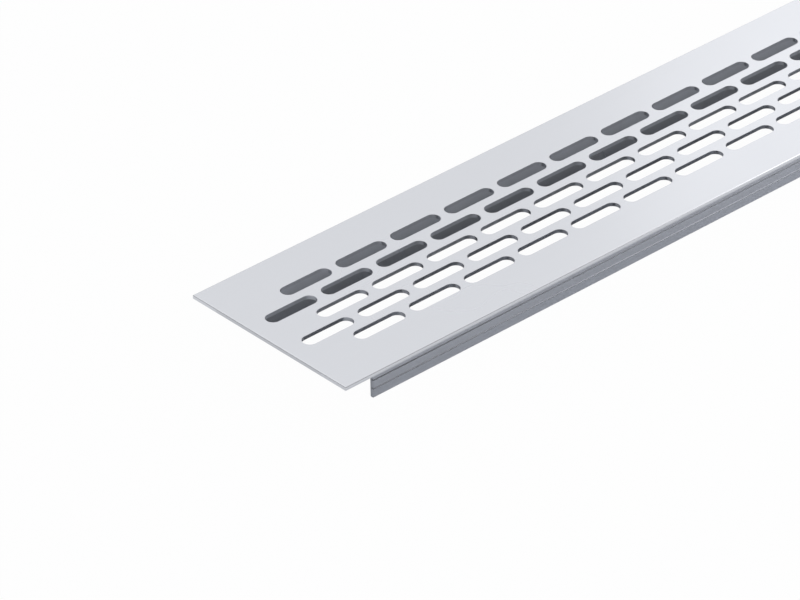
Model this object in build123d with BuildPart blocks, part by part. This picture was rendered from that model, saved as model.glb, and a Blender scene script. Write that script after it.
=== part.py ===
from build123d import *
import os

# Furniture ventilation grille
# One aluminium profile: a thin face plate with a field of staggered slots, and
# two legs under it that drop into the cut-out and stop short of the plate's ends.
# +X runs along the plate, +Y to the rear long edge and +Z out of the face.
# The origin is in the plane of the feet, under the middle of the plate.

os.makedirs("parts", exist_ok=True)

# Face plate
plate_length = 480.0
plate_width = 80.0
plate_thickness = 1.5

# Slots
slot_length = 22.4
slot_width = 5.9
slot_end_sides = 24  # flats of a full round, two halves of which end a slot
end_bridge = 3.6  # metal between two slots of the same row
row_bridge = 3.7  # metal between neighbouring rows
row_stagger = 15.4  # shift of every other row along the plate
plate_end_margin = 7.5  # least metal between a slot and the end of the plate
leg_margin = 3.0  # least metal between a slot and the inner face of a leg

# Legs
overall_height = 20.0  # from the feet to the top of the plate
leg_thickness = 1.5
leg_inset = 11.0  # from the long edge of the plate to the outer face of a leg
leg_setback = 22.3  # from the end of the plate to the end of a leg

# Grooves along the outer face of each leg
groove_width = 0.6
groove_depth = 0.4
lower_groove_height = 3.75  # from the foot to the middle of the lower groove
groove_spacing = 3.5  # middle to middle

# Profile corners
edge_radius = 0.3  # on the long edges of the plate and on the feet
root_radius = 0.5  # where a leg's inner face runs into the plate

# Derived sizes of the legs
seat_height = overall_height - plate_thickness
leg_length = plate_length - 2 * leg_setback
leg_outer_y = plate_width / 2 - leg_inset
leg_inner_y = leg_outer_y - leg_thickness
groove_floor_y = leg_outer_y - groove_depth
upper_groove_height = lower_groove_height + groove_spacing
foot_radius = min(edge_radius, 0.3 * leg_thickness)
rim_radius = min(edge_radius, 0.3 * plate_thickness)

# Derived layout of the slots: the straight rows are centred on the plate, and
# the rows between and beside them start one stagger later.
slot_end_x = (slot_length - slot_width) / 2
slot_pitch = slot_length + end_bridge
row_pitch = slot_width + row_bridge
field_length = plate_length - 2 * plate_end_margin
field_width = 2 * (leg_inner_y - leg_margin)
straight_slots = int((field_length + end_bridge) // slot_pitch)
row_count = int((field_width + row_bridge) // row_pitch)
first_slot_x = -(straight_slots - 1) * slot_pitch / 2
last_slot_x = field_length / 2 - slot_length / 2
staggered_room = last_slot_x - first_slot_x - row_stagger
staggered_slots = int(staggered_room // slot_pitch) + 1
staggered_middle_x = first_slot_x + row_stagger + (staggered_slots - 1) * slot_pitch / 2
straight_rows = row_count // 2
staggered_rows = row_count - straight_rows
row_shift = (1 - row_count % 2) * row_pitch / 2

# Outline of one slot: the hull of two many-sided rounds
with BuildSketch() as slot_outline:
    with Locations((-slot_end_x, 0), (slot_end_x, 0)):
        RegularPolygon(radius=slot_width / 2, side_count=slot_end_sides)
    make_hull()

with BuildPart() as vent_grille:
    # Face plate, lying on the seating plane
    with BuildSketch(Plane.XY.offset(seat_height)) as plate_outline:
        Rectangle(plate_length, plate_width)
    extrude(amount=plate_thickness)

    # Cross-section of the rear leg with its two grooves, mirrored to the front
    with BuildSketch(Plane.YZ.offset(-leg_length / 2)) as leg_profile:
        with BuildLine() as leg_outline:
            Polyline(
                (leg_inner_y, 0),
                (leg_outer_y, 0),
                (leg_outer_y, lower_groove_height - groove_width / 2),
                (groove_floor_y, lower_groove_height - groove_width / 2),
                (groove_floor_y, lower_groove_height + groove_width / 2),
                (leg_outer_y, lower_groove_height + groove_width / 2),
                (leg_outer_y, upper_groove_height - groove_width / 2),
                (groove_floor_y, upper_groove_height - groove_width / 2),
                (groove_floor_y, upper_groove_height + groove_width / 2),
                (leg_outer_y, upper_groove_height + groove_width / 2),
                (leg_outer_y, seat_height),
                (leg_inner_y, seat_height),
                close=True,
            )
        make_face()
        mirror(about=Plane.YZ)
    extrude(amount=leg_length)

    # Corners of the profile: the feet, the plate's long edges, the inner roots
    long_edges = vent_grille.edges().filter_by(Axis.X)
    foot_edges = long_edges.group_by(Axis.Z)[0]
    fillet(foot_edges, radius=foot_radius)
    rim_edges = vent_grille.edges().filter_by(Axis.X).group_by(SortBy.LENGTH)[-1]
    fillet(rim_edges, radius=rim_radius)
    root_edges = (
        vent_grille.edges()
        .filter_by(Axis.X)
        .filter_by_position(Axis.Z, seat_height - 0.01, seat_height + 0.01)
        .filter_by_position(Axis.Y, -leg_inner_y - 0.01, leg_inner_y + 0.01)
    )
    fillet(root_edges, radius=root_radius)

    # Slots, punched through the plate in straight and in staggered rows
    with BuildSketch(Plane.XY.offset(seat_height)) as slot_field:
        with Locations((0, row_shift)):
            with GridLocations(slot_pitch, 2 * row_pitch, straight_slots, straight_rows):
                add(slot_outline.sketch)
        with Locations((staggered_middle_x, -row_shift)):
            with GridLocations(slot_pitch, 2 * row_pitch, staggered_slots, staggered_rows):
                add(slot_outline.sketch)
    extrude(amount=plate_thickness, mode=Mode.SUBTRACT)

vent_grille.part.label = "vent_grille"
export_step(vent_grille.part, "parts/vent_grille.step")
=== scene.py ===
from math import cos, radians, sin

import bmesh
import bpy
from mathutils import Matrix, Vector


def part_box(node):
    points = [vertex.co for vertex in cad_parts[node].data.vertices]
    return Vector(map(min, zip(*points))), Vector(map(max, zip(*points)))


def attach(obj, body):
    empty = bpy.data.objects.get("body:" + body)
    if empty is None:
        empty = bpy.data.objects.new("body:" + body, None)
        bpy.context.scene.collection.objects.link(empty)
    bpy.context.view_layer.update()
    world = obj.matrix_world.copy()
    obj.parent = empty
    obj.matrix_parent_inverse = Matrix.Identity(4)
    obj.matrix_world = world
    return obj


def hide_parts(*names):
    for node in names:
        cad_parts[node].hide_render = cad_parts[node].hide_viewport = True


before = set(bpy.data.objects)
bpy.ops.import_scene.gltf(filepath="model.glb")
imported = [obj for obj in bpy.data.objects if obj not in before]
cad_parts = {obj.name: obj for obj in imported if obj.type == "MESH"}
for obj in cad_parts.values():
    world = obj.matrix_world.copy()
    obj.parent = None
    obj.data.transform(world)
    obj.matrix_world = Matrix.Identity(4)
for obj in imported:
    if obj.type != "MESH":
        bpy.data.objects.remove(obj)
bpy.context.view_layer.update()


# Camera
# A long lens from the front left, high enough to look down on the slotted face.
# The far end of the grille runs out of the picture at the top right.
camera_data = bpy.data.cameras.new("camera")
camera_data.sensor_width = 36.0
camera_data.lens = 249.52
camera_data.clip_start = 0.1
camera_data.clip_end = 20.0
camera = bpy.data.objects.new("camera", camera_data)
camera.location = (-1.27202, -1.22127, 1.06843)
camera.rotation_euler = (radians(57.1304), radians(0.7477), radians(-42.3179))
bpy.context.scene.collection.objects.link(camera)
bpy.context.scene.camera = camera


# Face plate
# The slotted plate that shows above the furniture panel, extruded as the top of
# one aluminium profile and sawn square. Its edges are eased on the upper side.
plate_low, plate_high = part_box("vent_grille")
PLATE_LENGTH = plate_high.x - plate_low.x
PLATE_WIDTH = plate_high.y - plate_low.y
PLATE_TOP = plate_high.z
PLATE_THICKNESS = 0.0015
EDGE_RADIUS = 0.0003
EDGE_SEGMENTS = 3
SEAT_HEIGHT = PLATE_TOP - PLATE_THICKNESS
SAME_PLACE = 1e-6


def select_none():
    """Clears the selection of objects."""
    bpy.ops.object.select_all(action="DESELECT")


def activate(piece):
    """Makes one object the only selected and the active one."""
    select_none()
    piece.select_set(True)
    bpy.context.view_layer.objects.active = piece


def edit_select(kind, wanted):
    """In edit mode, selects only the vertices, edges or faces that the test wants."""
    bpy.ops.mesh.select_mode(type=kind)
    bpy.ops.mesh.select_all(action="DESELECT")
    mesh = bmesh.from_edit_mesh(bpy.context.object.data)
    parts = {"VERT": mesh.verts, "EDGE": mesh.edges, "FACE": mesh.faces}[kind]
    for part in parts:
        if wanted(part):
            part.select_set(True)
    mesh.select_flush_mode()
    bmesh.update_edit_mesh(bpy.context.object.data)


def block(name, low, high):
    """A box between two corners. Its place is in its mesh, so the object isn't moved."""
    select_none()
    bpy.ops.mesh.primitive_cube_add(size=1.0)
    piece = bpy.context.object
    piece.name = name
    size = [b - a for a, b in zip(low, high)]
    middle = [(a + b) / 2 for a, b in zip(low, high)]
    bpy.ops.object.mode_set(mode="EDIT")
    bpy.ops.transform.resize(value=size)
    bpy.ops.transform.translate(value=middle)
    bpy.ops.object.mode_set(mode="OBJECT")
    return piece


def upper(edge):
    """Whether an edge lies in the plate's upper face."""
    return min(vertex.co.z for vertex in edge.verts) > PLATE_TOP - SAME_PLACE


grille = block(
    "grille",
    (plate_low.x, plate_low.y, SEAT_HEIGHT),
    (plate_high.x, plate_high.y, PLATE_TOP),
)
bpy.ops.object.mode_set(mode="EDIT")
edit_select("EDGE", upper)
bpy.ops.mesh.bevel(offset=EDGE_RADIUS, segments=EDGE_SEGMENTS, affect="EDGES")
bpy.ops.object.mode_set(mode="OBJECT")


# Legs
# Two walls of the same profile that drop into the cut-out. Each is milled back
# from the plate's ends, has two fine grooves along its outer face and eased feet.
LEG_THICKNESS = 0.0015
LEG_INSET = 0.011
LEG_SETBACK = 0.0223
LEG_OUTER_Y = plate_high.y - LEG_INSET
LEG_INNER_Y = LEG_OUTER_Y - LEG_THICKNESS
LEG_END_X = plate_high.x - LEG_SETBACK
LEG_OVERLAP = 0.0006  # how far a leg stands into the plate until the two are joined
GROOVE_WIDTH = 0.0006
GROOVE_DEPTH = 0.0004
GROOVE_HEIGHTS = (0.00375, 0.00725)
ROOT_RADIUS = 0.0005
ROOT_SEGMENTS = 4


def runs_along(edge):
    """Whether an edge lies along the profile."""
    a, b = (vertex.co for vertex in edge.verts)
    return abs(a.y - b.y) < SAME_PLACE and abs(a.z - b.z) < SAME_PLACE


def foot_edge(edge):
    """Whether an edge runs along a leg's foot."""
    return runs_along(edge) and edge.verts[0].co.z < SAME_PLACE


def inner_root(edge):
    """Whether an edge is the corner between a leg's inner face and the plate."""
    a = edge.verts[0].co
    at_wall = abs(abs(a.y) - LEG_INNER_Y) < 10 * SAME_PLACE
    at_seat = abs(a.z - SEAT_HEIGHT) < 10 * SAME_PLACE
    return runs_along(edge) and at_wall and at_seat


def cut_level(height):
    """Scores the edited mesh all round at one height."""
    bpy.ops.mesh.select_all(action="SELECT")
    bpy.ops.mesh.bisect(plane_co=(0, 0, height), plane_no=(0, 0, 1))


def strip_at(height):
    """A test for the part of a scored leg's outer face that becomes a groove."""

    def wanted(face):
        outside = face.normal.y > 0.9
        return outside and abs(face.calc_center_median().z - height) < GROOVE_WIDTH / 4

    return wanted


def leg(name):
    """A leg at the rear, with eased foot edges and the grooves along its outer face."""
    piece = block(
        name,
        (-LEG_END_X, LEG_INNER_Y, 0),
        (LEG_END_X, LEG_OUTER_Y, SEAT_HEIGHT + LEG_OVERLAP),
    )
    bpy.ops.object.mode_set(mode="EDIT")
    edit_select("EDGE", foot_edge)
    bpy.ops.mesh.bevel(offset=EDGE_RADIUS, segments=EDGE_SEGMENTS, affect="EDGES")
    for height in GROOVE_HEIGHTS:
        cut_level(height - GROOVE_WIDTH / 2)
        cut_level(height + GROOVE_WIDTH / 2)
        edit_select("FACE", strip_at(height))
        bpy.ops.mesh.extrude_region_move(
            TRANSFORM_OT_translate={"value": (0, -GROOVE_DEPTH, 0)}
        )
    bpy.ops.object.mode_set(mode="OBJECT")
    return piece


def combine(piece, other, operation):
    """Joins another object to the piece or takes it away from it, and removes the other."""
    activate(piece)
    cut = piece.modifiers.new(operation.lower(), "BOOLEAN")
    cut.operation = operation
    cut.solver = "EXACT"
    cut.object = other
    bpy.ops.object.modifier_apply(modifier=cut.name)
    bpy.data.objects.remove(other)


rear_leg = leg("rear_leg")
front_leg = leg("front_leg")
activate(front_leg)
bpy.ops.object.mode_set(mode="EDIT")
bpy.ops.mesh.select_all(action="SELECT")
bpy.ops.transform.resize(value=(1, -1, 1), center_override=(0, 0, 0))
bpy.ops.mesh.flip_normals()
bpy.ops.object.mode_set(mode="OBJECT")
combine(grille, rear_leg, "UNION")
combine(grille, front_leg, "UNION")
activate(grille)
bpy.ops.object.mode_set(mode="EDIT")
edit_select("EDGE", inner_root)
bpy.ops.mesh.bevel(offset=ROOT_RADIUS, segments=ROOT_SEGMENTS, affect="EDGES")
bpy.ops.object.mode_set(mode="OBJECT")


# Slots
# Five rows of round-ended slots punched through the plate. Rows two and four are
# centred on the plate, and the other three start a little over half a pitch later.
SLOT_LENGTH = 0.0224
SLOT_WIDTH = 0.0059
SLOT_PITCH = 0.026
ROW_PITCH = 0.0096
ROW_STAGGER = 0.0154
STRAIGHT_SLOTS = 18
STAGGERED_SLOTS = 17
STRAIGHT_ROWS = 2
STAGGERED_ROWS = 3
FIRST_SLOT_X = -(STRAIGHT_SLOTS - 1) * SLOT_PITCH / 2
QUARTER_SEGMENTS = 12


def upright(edge):
    """Whether an edge stands up."""
    a, b = (vertex.co for vertex in edge.verts)
    return abs(a.z - b.z) > PLATE_THICKNESS / 2


def repeat(piece, count, step):
    """Applies a row of copies, one step apart."""
    activate(piece)
    row = piece.modifiers.new("row", "ARRAY")
    row.use_relative_offset = False
    row.use_constant_offset = True
    row.count = count
    row.constant_offset_displace = step
    bpy.ops.object.modifier_apply(modifier=row.name)


def slot_punch(name, first_x, slots, rows):
    """The tool for one set of rows: a round-ended bar for each slot."""
    first_y = -(rows - 1) * ROW_PITCH
    punch = block(
        name,
        (
            first_x - SLOT_LENGTH / 2,
            first_y - SLOT_WIDTH / 2,
            SEAT_HEIGHT - PLATE_THICKNESS,
        ),
        (
            first_x + SLOT_LENGTH / 2,
            first_y + SLOT_WIDTH / 2,
            PLATE_TOP + PLATE_THICKNESS,
        ),
    )
    bpy.ops.object.mode_set(mode="EDIT")
    edit_select("EDGE", upright)
    bpy.ops.mesh.bevel(offset=SLOT_WIDTH / 2, segments=QUARTER_SEGMENTS, affect="EDGES")
    bpy.ops.mesh.select_all(action="SELECT")
    bpy.ops.mesh.remove_doubles(threshold=SAME_PLACE)
    bpy.ops.object.mode_set(mode="OBJECT")
    repeat(punch, slots, (SLOT_PITCH, 0, 0))
    repeat(punch, rows, (0, 2 * ROW_PITCH, 0))
    return punch


for name, first_x, slots, rows in (
    ("straight_rows", FIRST_SLOT_X, STRAIGHT_SLOTS, STRAIGHT_ROWS),
    ("staggered_rows", FIRST_SLOT_X + ROW_STAGGER, STAGGERED_SLOTS, STAGGERED_ROWS),
):
    combine(grille, slot_punch(name, first_x, slots, rows), "DIFFERENCE")


# Edges of the metal
# Punching, sawing and the finishing bath leave every sharp edge very slightly
# broken, which catches the light. The grooves are left sharp, and their dark tone
# is painted shade in the material.
BROKEN_EDGE = 0.00008
BROKEN_SEGMENTS = 2
SHARP_ANGLE = radians(50)
FLAT_ANGLE = radians(0.5)
SMOOTH_ANGLE = radians(16)


def outside_corner(edge):
    """Whether an edge is a sharp one that isn't part of a groove."""
    if not edge.is_manifold or edge.calc_face_angle() < SHARP_ANGLE:
        return False
    a, b = (vertex.co for vertex in edge.verts)
    in_groove = any(
        abs(max(a.z, b.z) - height) < GROOVE_WIDTH
        and min(abs(a.y), abs(b.y)) > LEG_INNER_Y + GROOVE_DEPTH
        for height in GROOVE_HEIGHTS
    )
    return not (in_groove and max(a.z, b.z) - min(a.z, b.z) < GROOVE_WIDTH * 1.5)


activate(grille)
bpy.ops.object.mode_set(mode="EDIT")
bpy.ops.mesh.select_all(action="SELECT")
bpy.ops.mesh.remove_doubles(threshold=SAME_PLACE)
bpy.ops.mesh.dissolve_limited(angle_limit=FLAT_ANGLE)
edit_select("EDGE", outside_corner)
bpy.ops.mesh.bevel(
    offset=BROKEN_EDGE, segments=BROKEN_SEGMENTS, affect="EDGES", clamp_overlap=True
)
bpy.ops.object.mode_set(mode="OBJECT")
bpy.ops.object.shade_smooth_by_angle(angle=SMOOTH_ANGLE)


# Satin anodised aluminium
# The whole profile has one natural anodised finish, pale and satin, with faint die
# lines along it and a fine etched grain. Grooves and punched walls get painted shade
# in the colour.
ALUMINIUM = (0.785, 0.798, 0.835)
LINE_SHADE = 0.97  # tone of the metal along the die lines
LINE_START = 0.6  # where in the pattern of lines and grain the tone turns
# Colour multipliers that paint shade into the grooves and onto the slot walls.
PAINTED_GROOVE_SHADE = 0.68
PAINTED_WALL_SHADE = 0.9
WALL_FADE = 0.0003  # depth over which the painted shade on the walls sets in
WALL_LIP = 0.0001  # left without painted shade at the top of a wall
WALL_FOOT = 0.00005  # left without painted shade at its foot
SATIN = 0.25  # roughness of the finish
SATIN_SPREAD = 0.03
PATCH_SPAN = (0.3, 0.7)
RUBBED = 0.18  # roughness where hands have rubbed it
RUBBED_WIDTH = 0.0006
RUB_SPAN = (0.42, 0.62)
LEAST_RUBBED = 0.3
LINES_PER_METRE = 1400
LINE_STRETCH = 6
GRAIN_PER_METRE = 2600.0
PATCHES_PER_METRE = 14.0
RUBS_PER_METRE = 90.0
RELIEF_DEPTH = 0.00002
RELIEF_STRENGTH = 0.05

satin = bpy.data.materials.new("satin_aluminium")


def empty_tree(owner):
    """The emptied nodes and the links of a material or a world."""
    owner.use_nodes = True
    owner.node_tree.nodes.clear()
    return owner.node_tree.nodes, owner.node_tree.links


def node(kind, label, spot, **settings):
    """A node in the tree at hand, with its settings and its unlinked values."""
    new = nodes.new(kind)
    new.label = label
    new.location = spot
    for key, value in settings.items():
        if key in new.inputs:
            new.inputs[key].default_value = value
        else:
            setattr(new, key, value)
    return new


def map_range(label, spot, source, span, result, **settings):
    """A node that carries one span of values over to another, without going past it."""
    new = node("ShaderNodeMapRange", label, spot, **settings)
    new.inputs["From Min"].default_value, new.inputs["From Max"].default_value = span
    new.inputs["To Min"].default_value, new.inputs["To Max"].default_value = result
    links.new(source, new.inputs["Value"])
    return new.outputs["Result"]


def calculate(operation, label, spot, *values):
    """A sum of one kind on values and on the outputs of other nodes."""
    new = node("ShaderNodeMath", label, spot, operation=operation)
    for socket, value in zip(new.inputs, values):
        if isinstance(value, bpy.types.NodeSocket):
            links.new(value, socket)
        else:
            socket.default_value = value
    return new.outputs["Value"]


nodes, links = empty_tree(satin)
output = node("ShaderNodeOutputMaterial", "output", (1300, 0))
metal = node("ShaderNodeBsdfPrincipled", "metal", (1000, 0), Metallic=1.0)
place = node("ShaderNodeTexCoord", "place", (-1200, 0))
stretch = node("ShaderNodeMapping", "along the profile", (-1000, 300))
stretch.inputs["Scale"].default_value = (LINE_STRETCH, LINES_PER_METRE, LINES_PER_METRE)


def noise(label, height, scale, detail):
    """A cloudy pattern, so many times to the metre."""
    return node("ShaderNodeTexNoise", label, (-800, height), Scale=scale, Detail=detail)


die_lines = noise("die lines", 300, 1.0, 3.0)
grain = noise("etched grain", 0, GRAIN_PER_METRE, 2.0)
cloud = noise("soft patches", -300, PATCHES_PER_METRE, 2.0)
rubs = noise("rubbed places", -600, RUBS_PER_METRE, 3.0)
axes = node("ShaderNodeSeparateXYZ", "axes", (-1000, -900))
links.new(stretch.outputs["Vector"], die_lines.inputs["Vector"])
for taker in (stretch, grain, cloud, rubs, axes):
    links.new(place.outputs["Object"], taker.inputs["Vector"])

# Lines and grain shade the metal by a few hundredths.
texture = calculate(
    "ADD", "lines and grain", (-550, 200), die_lines.outputs["Fac"], grain.outputs["Fac"]
)
tone = node("ShaderNodeValToRGB", "tone", (-350, 300))
tone.color_ramp.elements[0].position = LINE_START
tone.color_ramp.elements[0].color = [c * LINE_SHADE for c in ALUMINIUM] + [1]
tone.color_ramp.elements[1].color = [*ALUMINIUM, 1]
links.new(texture, tone.inputs["Fac"])

# The floors of the grooves lie deeper than the outer faces of the legs. Their colour
# is darkened there: painted shade in the recesses.
aside = calculate("ABSOLUTE", "away from the middle", (-800, -900), axes.outputs["Y"])
distances = []
for number, height in enumerate(GROOVE_HEIGHTS):
    row = -1100 - 200 * number
    off = calculate("SUBTRACT", "off the groove", (-800, row), axes.outputs["Z"], height)
    distances.append(calculate("ABSOLUTE", "distance", (-600, row), off))
nearest = calculate("MINIMUM", "nearest groove", (-400, -1100), *distances)
in_height = calculate(
    "LESS_THAN", "in a groove's height", (-200, -1100), nearest, GROOVE_WIDTH / 2
)
below_face = calculate(
    "LESS_THAN", "below the face", (-200, -1300), aside, LEG_OUTER_Y - GROOVE_DEPTH / 10
)
outside = calculate(
    "GREATER_THAN", "outside of the leg", (-200, -1500), aside, LEG_INNER_Y + GROOVE_DEPTH
)
groove = calculate("MULTIPLY", "deep in it", (0, -1200), in_height, below_face)
groove = calculate("MULTIPLY", "groove", (200, -1200), groove, outside)
shade = map_range("groove shade", (400, -1000), groove, (0, 1), (1, PAINTED_GROOVE_SHADE))

# The walls of the slots lie between the seat and the top, inside the legs. Below a
# thin lip their colour is darkened: painted shade.
wall_span = (PLATE_TOP - WALL_LIP - WALL_FADE, PLATE_TOP - WALL_LIP)
below_top = map_range("below the top", (-200, -1700), axes.outputs["Z"], wall_span, (1, 0))
above_seat = calculate(
    "GREATER_THAN", "above the seat", (-200, -1900), axes.outputs["Z"], SEAT_HEIGHT + WALL_FOOT
)
amid = calculate("LESS_THAN", "inside the legs", (-200, -2100), aside, LEG_INNER_Y)
wall = calculate("MULTIPLY", "within the plate", (0, -1800), below_top, above_seat)
wall = calculate("MULTIPLY", "slot wall", (200, -1900), wall, amid)
wall_shade = map_range("wall shade", (400, -1400), wall, (0, 1), (1, PAINTED_WALL_SHADE))
shade = calculate("MULTIPLY", "shade", (600, -1100), shade, wall_shade)
# The tone of lines and grain, darkened by the painted shade.
shaded_tone = node("ShaderNodeVectorMath", "dulled metal", (400, 300), operation="SCALE")
links.new(tone.outputs["Color"], shaded_tone.inputs[0])
links.new(shade, shaded_tone.inputs["Scale"])
links.new(shaded_tone.outputs["Vector"], metal.inputs["Base Color"])

# Handling rubs the long edges of the plate smoother in places.
rim = map_range(
    "near the long edge",
    (-350, -700),
    aside,
    (PLATE_WIDTH / 2 - RUBBED_WIDTH, PLATE_WIDTH / 2),
    (0, 1),
    interpolation_type="SMOOTHSTEP",
)
worn = map_range("worn", (-350, -500), rubs.outputs["Fac"], RUB_SPAN, (LEAST_RUBBED, 1))
wear = calculate("MULTIPLY", "edge wear", (-100, -600), rim, worn)
satin_span = (SATIN - SATIN_SPREAD, SATIN + SATIN_SPREAD)
sheen = map_range("satin", (-350, -250), cloud.outputs["Fac"], PATCH_SPAN, satin_span)
rubbed = node("ShaderNodeMix", "satin or rubbed", (500, -300))
rubbed.inputs["B"].default_value = RUBBED
links.new(wear, rubbed.inputs["Factor"])
links.new(sheen, rubbed.inputs["A"])
links.new(rubbed.outputs["Result"], metal.inputs["Roughness"])

relief = node("ShaderNodeBump", "relief", (700, -500))
relief.inputs["Strength"].default_value = RELIEF_STRENGTH
relief.inputs["Distance"].default_value = RELIEF_DEPTH
links.new(texture, relief.inputs["Height"])
links.new(relief.outputs["Normal"], metal.inputs["Normal"])
links.new(metal.outputs["BSDF"], output.inputs["Surface"])

grille.data.materials.clear()
grille.data.materials.append(satin)
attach(grille, "root")
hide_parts("vent_grille")


# Floor
# White paper under the feet, which reads as pure white with a trace of the shadow.
# The metal mirrors it as part white outside the grille, fading to none at the plate's
# outline as a painted shadow, and as lit paper below it.
FLOOR_SIZE = 12.0
PAPER = (0.685, 0.70, 0.73)
SHADOW_SHARE = 0.02  # how much of the real shading is seen on the floor
MIRRORED_SHARE = 0.50  # how white the open floor is in the metal
SHADE_WIDTH = 0.022  # width of the painted shadow in the metal's view of the floor, from the plate's outline to where the floor is open
# how far from each leg, and how dark, the painted shade on the paper is
SHELTER_WIDTH = 0.012
PAINTED_SHELTER_SHADE = 0.52

select_none()
bpy.ops.mesh.primitive_plane_add(size=FLOOR_SIZE, location=(0, 0, 0))
floor = bpy.context.object
floor.name = "floor"
paper = bpy.data.materials.new("white_floor")
nodes, links = empty_tree(paper)
output = node("ShaderNodeOutputMaterial", "output", (900, 0))
matt = node("ShaderNodeBsdfDiffuse", "matt", (300, 150))
white = node("ShaderNodeEmission", "white", (300, -50), Strength=1.0)
blend = node("ShaderNodeMixShader", "blend", (650, 0))
rays = node("ShaderNodeLightPath", "rays", (-400, 400))

place = node("ShaderNodeTexCoord", "place", (-1400, -200))
spread = node("ShaderNodeVectorMath", "from the middle", (-1200, -200), operation="ABSOLUTE")
past = node("ShaderNodeVectorMath", "past the plate", (-1000, -200), operation="SUBTRACT")
past.inputs[1].default_value = (PLATE_LENGTH / 2, PLATE_WIDTH / 2, 0)
gap = node("ShaderNodeVectorMath", "gap", (-800, -200), operation="MAXIMUM")
away = node("ShaderNodeVectorMath", "away from it", (-600, -200), operation="LENGTH")
links.new(place.outputs["Object"], spread.inputs[0])
links.new(spread.outputs["Vector"], past.inputs[0])
links.new(past.outputs["Vector"], gap.inputs[0])
links.new(gap.outputs["Vector"], away.inputs[0])
# The white seen in the metal fades out towards the plate: a painted shadow.
open_floor = map_range(
    "open floor",
    (-400, -200),
    away.outputs["Value"],
    (0, SHADE_WIDTH),
    (0, MIRRORED_SHARE),
    interpolation_type="SMOOTHSTEP",
)
seen = calculate(
    "MULTIPLY", "seen directly", (-150, 450), rays.outputs["Is Camera Ray"], 1 - SHADOW_SHARE
)
mirrored = calculate(
    "MULTIPLY", "seen in the metal", (-150, 250), rays.outputs["Is Glossy Ray"], open_floor
)
either = calculate("MAXIMUM", "either way", (50, 350), seen, mirrored)
share = calculate(
    "MAXIMUM", "white share", (300, 350), either, rays.outputs["Is Transmission Ray"]
)
links.new(share, blend.inputs["Fac"])

# Along the inside of each leg the paper's colour is darkened: painted shade where
# the floor lies deep under the grille.
sides = node("ShaderNodeSeparateXYZ", "sides", (-1000, -500))
links.new(spread.outputs["Vector"], sides.inputs["Vector"])
shelter = map_range(
    "close to a leg",
    (-700, -500),
    sides.outputs["Y"],
    (LEG_INNER_Y - SHELTER_WIDTH, LEG_INNER_Y - SHELTER_WIDTH / 3),
    (0, 1),
)
across, along = sides.outputs["Y"], sides.outputs["X"]
inside = calculate("LESS_THAN", "inside the leg", (-700, -750), across, LEG_OUTER_Y)
between = calculate("LESS_THAN", "between its ends", (-700, -950), along, LEG_END_X)
shelter = calculate("MULTIPLY", "inside", (-500, -600), shelter, inside)
shelter = calculate("MULTIPLY", "sheltered", (-300, -700), shelter, between)
dimming = map_range("dimming", (-100, -500), shelter, (0, 1), (1, PAINTED_SHELTER_SHADE))
dimmed = node("ShaderNodeVectorMath", "dimmed paper", (100, -300), operation="SCALE")
dimmed.inputs[0].default_value = PAPER
links.new(dimming, dimmed.inputs["Scale"])
links.new(dimmed.outputs["Vector"], matt.inputs["Color"])
links.new(matt.outputs["BSDF"], blend.inputs[1])
links.new(white.outputs["Emission"], blend.inputs[2])
links.new(blend.outputs["Shader"], output.inputs["Surface"])
floor.data.materials.append(paper)


# Light
# A pale room, brightest behind the grille, where the plate mirrors it, and on the
# camera's side. Three soft lamps stand past the right end of the grille.
ROOM_COLOUR = (0.985, 0.99, 1.0, 1.0)
CEILING_LEVEL = 0.30
CEILING_SPAN = (0.45, 0.95)  # sines of the heights from which it swells to its full level
BRIGHT_SIDES = (
    # heading from +X, height, reach (all in degrees), level
    (50, 35, 50, 0.82),
    (115, 35, 50, 0.62),
    (-20, 45, 35, 0.62),
    (235, 15, 60, 1.05),
    (275, 10, 55, 0.35),
)
LAMPS = (
    # place, point lit, width, power
    ((0.70, 0.48, 0.43), (0.10, 0.0, 0.0), 0.4, 0.14),
    ((0.50, -0.20, 0.42), (0.10, -0.03, 0.0), 0.35, 0.30),
    ((0.32, -0.22, 0.18), (0.15, -0.05, 0.0), 0.45, 0.50),
)

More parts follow.
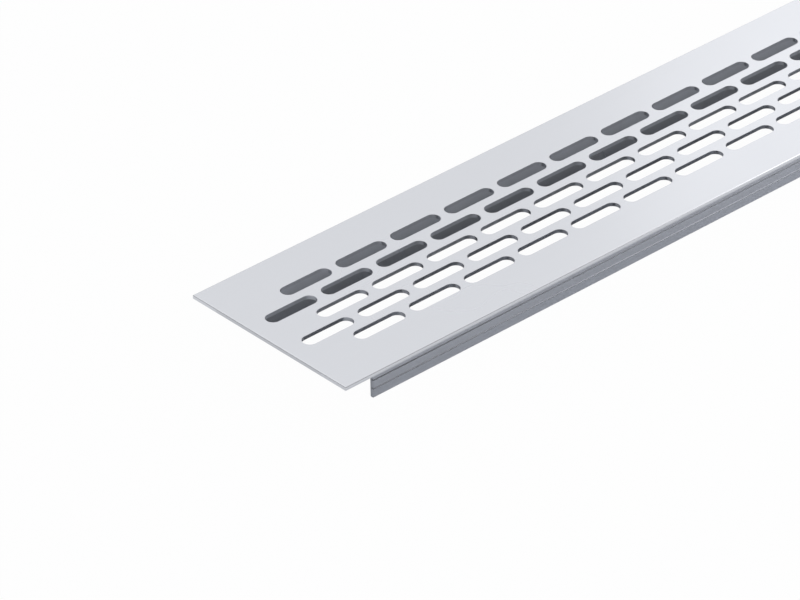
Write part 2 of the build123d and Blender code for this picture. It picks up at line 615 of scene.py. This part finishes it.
world = bpy.data.worlds.new("room")
bpy.context.scene.world = world
nodes, links = empty_tree(world)
output = node("ShaderNodeOutputWorld", "output", (1100, 0))
room = node("ShaderNodeBackground", "room", (600, 100), Color=ROOM_COLOUR)
backdrop = node("ShaderNodeBackground", "backdrop", (600, -100), Strength=1.0)
backdrop.inputs["Color"].default_value = (1, 1, 1, 1)
choice = node("ShaderNodeMixShader", "room or backdrop", (850, 0))
rays = node("ShaderNodeLightPath", "rays", (600, 450))
direction = node("ShaderNodeTexCoord", "direction", (-700, 100))


def glow(label, spot, middle, edge, strength):
    """Light that swells from nothing, at an angle from one direction, to its middle."""
    facing = node("ShaderNodeVectorMath", label, spot, operation="DOT_PRODUCT")
    facing.inputs[1].default_value = middle
    links.new(direction.outputs["Generated"], facing.inputs[0])
    return map_range(
        label,
        (spot[0] + 200, spot[1]),
        facing.outputs["Value"],
        edge,
        (0, strength),
        interpolation_type="SMOOTHSTEP",
    )


level = glow("ceiling", (-400, -300), (0, 0, 1), CEILING_SPAN, CEILING_LEVEL)
for number, (heading, height, reach, strength) in enumerate(BRIGHT_SIDES):
    heading, height = radians(heading), radians(height)
    middle = (cos(height) * cos(heading), cos(height) * sin(heading), sin(height))
    edge = (cos(radians(reach)), 1)
    side = glow("bright side", (-400, 200 * number), middle, edge, strength)
    level = calculate("ADD", "level", (200 * number, 0), level, side)
links.new(level, room.inputs["Strength"])
links.new(rays.outputs["Is Camera Ray"], choice.inputs["Fac"])
links.new(room.outputs["Background"], choice.inputs[1])
links.new(backdrop.outputs["Background"], choice.inputs[2])
links.new(choice.outputs["Shader"], output.inputs["Surface"])

for position, target, width, power in LAMPS:
    lamp_data = bpy.data.lights.new("soft_lamp", "AREA")
    lamp_data.size = width
    lamp_data.energy = power
    lamp = bpy.data.objects.new("soft_lamp", lamp_data)
    lamp.location = position
    aim = Vector(target) - Vector(position)
    lamp.rotation_euler = aim.to_track_quat("-Z", "Y").to_euler()
    bpy.context.scene.collection.objects.link(lamp)

bpy.context.scene.view_settings.view_transform = "Standard"
